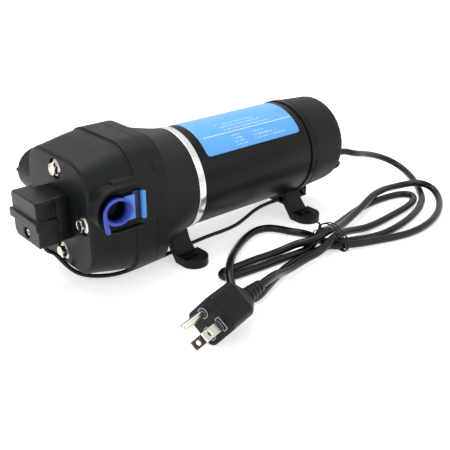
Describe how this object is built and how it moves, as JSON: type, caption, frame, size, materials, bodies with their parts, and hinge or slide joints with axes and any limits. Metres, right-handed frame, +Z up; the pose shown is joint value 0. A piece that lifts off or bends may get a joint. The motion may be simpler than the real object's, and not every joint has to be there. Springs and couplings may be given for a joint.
{
  "type": "diaphragm pump",
  "caption": "Mains-powered diaphragm water pump: domed head with side ports and pressure switch, round motor on two foot brackets, plug on a tied cord",
  "frame": {"origin": "middle of the four foot screw holes, on the plane the feet stand on", "axes": "+X from the pump head to the motor's rear along the motor axis, +Z up, so -Y is the side with the near port"},
  "size_m": [0.3857, 0.2006, 0.102],
  "materials": {
    "black_plastic": "matte, fine texture",
    "black_paint": "semi-gloss",
    "black_cap": "matte",
    "bright_ring": "machined",
    "bright_steel": "plated",
    "blue_plastic": "glossy",
    "clip_plastic": "satin",
    "label_blue": "satin",
    "white_plastic": "satin",
    "rubber": "matte",
    "steel": "ground",
    "core_steel": "dull",
    "magnet": "dull",
    "copper": "enamelled",
    "brass": "plain",
    "cord_black": "glossy",
    "plug_black": "satin",
    "prong_metal": "nickel plated"
  },
  "bodies": {
    "base": {"pump_head": "black_plastic", "head_bolts": "bright_steel", "valve_plate": "white_plastic", "inlet_valves": "rubber", "outlet_valve": "rubber", "head_seal": "rubber", "diaphragm": "rubber", "lower_housing": "black_plastic", "metal_ring": "bright_ring", "front_bearing": "steel", "motor_tube": "black_paint", "magnets": "magnet", "brushes": "magnet", "brush_holder": "black_plastic", "brush_springs": "steel", "rear_plate": "black_paint", "rear_bearing": "steel", "through_bolts": "bright_steel", "rectifier": "black_plastic", "motor_leads": "cord_black", "rear_cap": "black_cap", "cord_relief": "plug_black", "front_foot": "black_plastic", "rear_foot": "black_plastic", "foot_screws": "bright_steel", "switch_base": "black_plastic", "switch_cover": "black_plastic", "switch_screws": "bright_steel", "switch_diaphragm": "rubber", "switch_spring": "steel", "microswitch": "black_plastic", "plug_body": "plug_black", "plug_blades": "prong_metal", "ground_pin": "prong_metal", "plug_relief": "plug_black", "mains_cord": "cord_black", "cord_hank": "cord_black", "cord_tie": "plug_black", "switch_wire": "cord_black", "rating_label": "label_blue"},
    "rotor": {"motor_shaft": "steel", "armature_core": "core_steel", "armature_windings": "copper", "commutator": "copper", "eccentric_cam": "steel"},
    "wobble": {"wobble_plate": "white_plastic", "wobble_bearing": "steel", "pistons": "white_plastic", "piston_screws": "bright_steel", "diaphragm_pads": "rubber"},
    "clip_near_body": {"clip_near": "clip_plastic"},
    "clip_far_body": {"clip_far": "clip_plastic"},
    "plug_near_body": {"port_plug_near": "blue_plastic"},
    "plug_far_body": {"port_plug_far": "blue_plastic"},
    "adjuster": {"adjusting_screw": "brass"},
    "plunger": {"switch_plunger": "white_plastic"}
  },
  "joints": [
    {"name": "rotor_spin", "type": "hinge", "parent": "base", "child": "rotor", "pos_m": [0, 0, 0.055], "axis": [1, 0, 0], "continuous": true},
    {"name": "wobble_tilt", "type": "hinge", "parent": "base", "child": "wobble", "pos_m": [-0.08, 0, 0.055], "axis": [0, 1, 0], "range_deg": [-2, 2]},
    {"name": "clip_near_slide", "type": "slide", "parent": "base", "child": "clip_near_body", "axis": [1, 0, 0], "range_m": [0, 0.008]},
    {"name": "clip_far_slide", "type": "slide", "parent": "base", "child": "clip_far_body", "axis": [1, 0, 0], "range_m": [0, 0.008]},
    {"name": "plug_near_pull", "type": "slide", "parent": "base", "child": "plug_near_body", "axis": [0, -1, 0], "range_m": [0, 0.015]},
    {"name": "plug_far_pull", "type": "slide", "parent": "base", "child": "plug_far_body", "axis": [0, 1, 0], "range_m": [0, 0.015]},
    {"name": "adjuster_turn", "type": "hinge", "parent": "base", "child": "adjuster", "pos_m": [-0.1695, 0, 0.0465], "axis": [1, 0, 0], "range_deg": [-180, 180]},
    {"name": "plunger_slide", "type": "slide", "parent": "base", "child": "plunger", "axis": [-1, 0, 0], "range_m": [0, 0.0012], "stiffness_N_per_m": 800, "springref_m": -0.002, "deforming": ["switch_spring"]}
  ]
}
